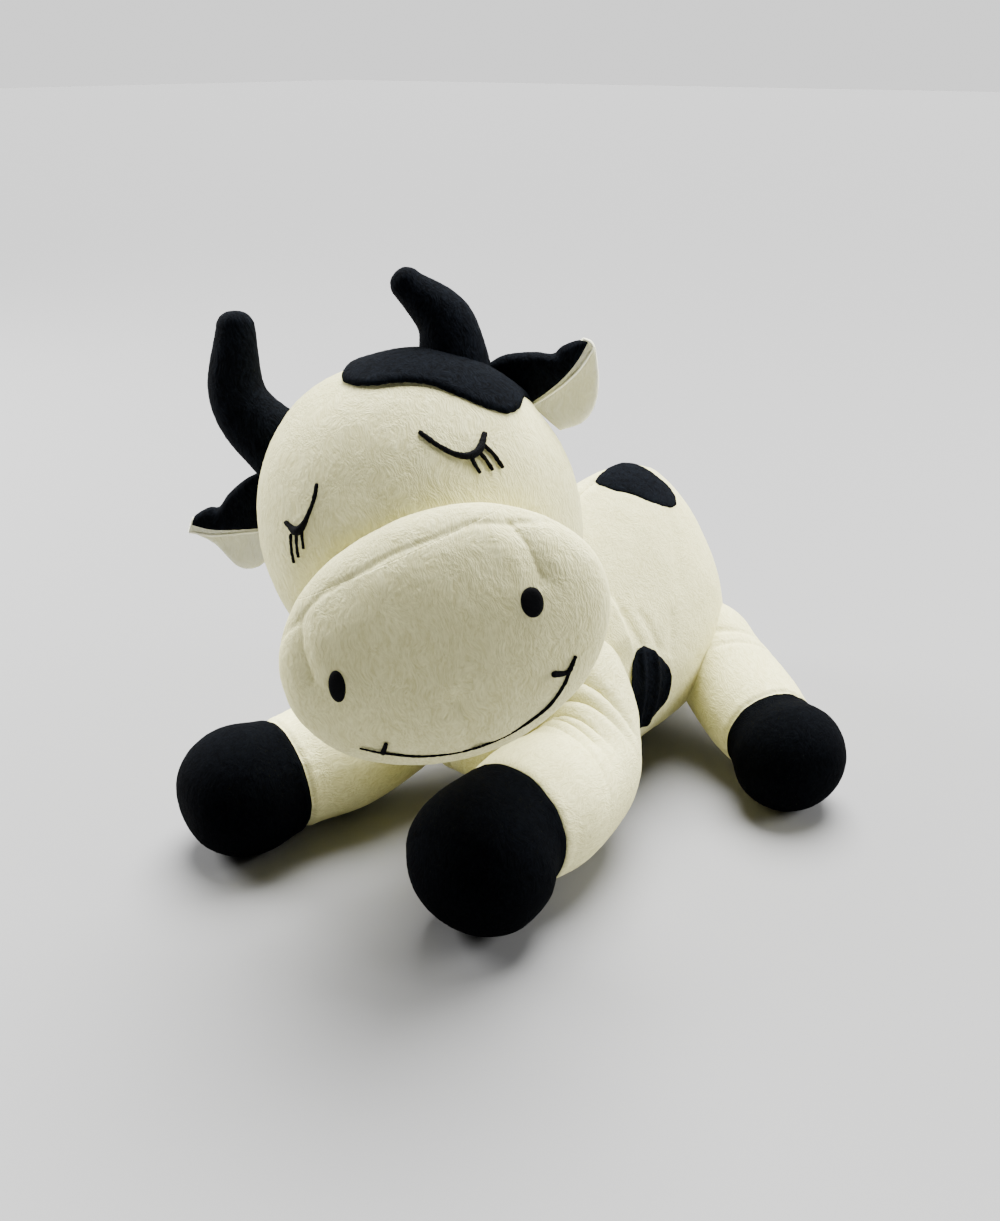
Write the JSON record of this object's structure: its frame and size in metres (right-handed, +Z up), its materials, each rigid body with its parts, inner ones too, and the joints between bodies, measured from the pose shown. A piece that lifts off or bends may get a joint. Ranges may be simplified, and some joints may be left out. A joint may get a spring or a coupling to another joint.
{
  "type": "plush cow toy",
  "caption": "Plush cow toy lying on its belly, with a rounded muzzle, closed embroidered eyes, horns, ears, stuffed legs with hooves, and a tufted tail.",
  "frame": {"origin": "on the floor, on the flat of the belly under the middle of the torso", "axes": "+Z up, +X to the toy's own left, -Y the way it lies, forwards"},
  "size_m": [0.2956, 0.3544, 0.2714],
  "materials": {
    "cream_plush": "short pile, matt",
    "black_plush": "short pile, matt, with a blue tint",
    "stitching": "satin stitch",
    "filling": "loose fibre",
    "squeaker_plastic": "soft satin"
  },
  "bodies": {
    "torso": {"body_panel_left": "cream_plush", "body_panel_right": "cream_plush", "belly_panel": "cream_plush", "body_filling": "filling", "back_patch": "black_plush", "side_patch": "black_plush", "flank_patch": "black_plush", "squeaker_bulb": "squeaker_plastic", "squeaker_reed": "squeaker_plastic"},
    "head": {"face_panel": "cream_plush", "head_back_left": "cream_plush", "head_back_right": "cream_plush", "neck_skin": "cream_plush", "head_filling": "filling", "muzzle_band": "cream_plush", "muzzle_front": "cream_plush", "muzzle_filling": "filling", "forehead_patch": "black_plush", "left_eye": "stitching", "right_eye": "stitching", "left_nostril": "stitching", "right_nostril": "stitching", "mouth_line": "stitching"},
    "left_horn": {"left_horn_skin": "black_plush", "left_horn_filling": "filling"},
    "right_horn": {"right_horn_skin": "black_plush", "right_horn_filling": "filling"},
    "left_ear": {"left_ear_back": "black_plush", "left_ear_lining": "cream_plush"},
    "right_ear": {"right_ear_back": "black_plush", "right_ear_lining": "cream_plush"},
    "front_left_leg": {"front_left_leg_skin": "cream_plush", "front_left_hoof": "black_plush", "front_left_leg_filling": "filling"},
    "front_right_leg": {"front_right_leg_skin": "cream_plush", "front_right_hoof": "black_plush", "front_right_leg_filling": "filling"},
    "hind_left_leg": {"hind_left_leg_skin": "cream_plush", "hind_left_hoof": "black_plush", "hind_left_leg_filling": "filling"},
    "hind_right_leg": {"hind_right_leg_skin": "cream_plush", "hind_right_hoof": "black_plush", "hind_right_leg_filling": "filling"},
    "tail_body": {"tail": "cream_plush", "tail_tuft": "black_plush"}
  },
  "joints": [
    {"name": "head_nod", "type": "hinge", "parent": "torso", "child": "head", "pos_m": [0.005, -0.091, 0.114], "axis": [0.7134, 0.5508, 0.4332], "range_deg": [-12, 12], "stiffness_Nm_per_rad": 4},
    {"name": "left_horn_bend", "type": "hinge", "parent": "head", "child": "left_horn", "pos_m": [0.01838, -0.12756, 0.22791], "axis": [-0.544, 0.825, -0.153], "range_deg": [-10, 10], "stiffness_Nm_per_rad": 0.15},
    {"name": "right_horn_bend", "type": "hinge", "parent": "head", "child": "right_horn", "pos_m": [-0.03584, -0.16942, 0.19498], "axis": [-0.544, 0.825, -0.153], "range_deg": [-10, 10], "stiffness_Nm_per_rad": 0.15},
    {"name": "left_ear_flap", "type": "hinge", "parent": "head", "child": "left_ear", "pos_m": [0.03967, -0.11229, 0.22153], "axis": [-0.6904, -0.3364, 0.6405], "range_deg": [-25, 25], "stiffness_Nm_per_rad": 0.02},
    {"name": "right_ear_flap", "type": "hinge", "parent": "head", "child": "right_ear", "pos_m": [-0.04429, -0.1771, 0.17055], "axis": [-0.1191, 0.1046, 0.9874], "range_deg": [-25, 25], "stiffness_Nm_per_rad": 0.02},
    {"name": "front_left_leg_swing", "type": "hinge", "parent": "torso", "child": "front_left_leg", "pos_m": [0.04, -0.062, 0.05], "axis": [0, 0, 1], "range_deg": [-12, 12], "stiffness_Nm_per_rad": 0.6},
    {"name": "front_right_leg_swing", "type": "hinge", "parent": "torso", "child": "front_right_leg", "pos_m": [-0.04, -0.062, 0.05], "axis": [0, 0, 1], "range_deg": [-12, 12], "stiffness_Nm_per_rad": 0.6},
    {"name": "hind_left_leg_swing", "type": "hinge", "parent": "torso", "child": "hind_left_leg", "pos_m": [0.044, 0.056, 0.044], "axis": [0, 0, 1], "range_deg": [-12, 12], "stiffness_Nm_per_rad": 0.6},
    {"name": "hind_right_leg_swing", "type": "hinge", "parent": "torso", "child": "hind_right_leg", "pos_m": [-0.044, 0.056, 0.044], "axis": [0, 0, 1], "range_deg": [-12, 12], "stiffness_Nm_per_rad": 0.6},
    {"name": "tail_swing", "type": "hinge", "parent": "torso", "child": "tail_body", "pos_m": [0, 0.09, 0.084], "axis": [0, 1, 0], "range_deg": [-25, 25], "stiffness_Nm_per_rad": 0.02}
  ]
}
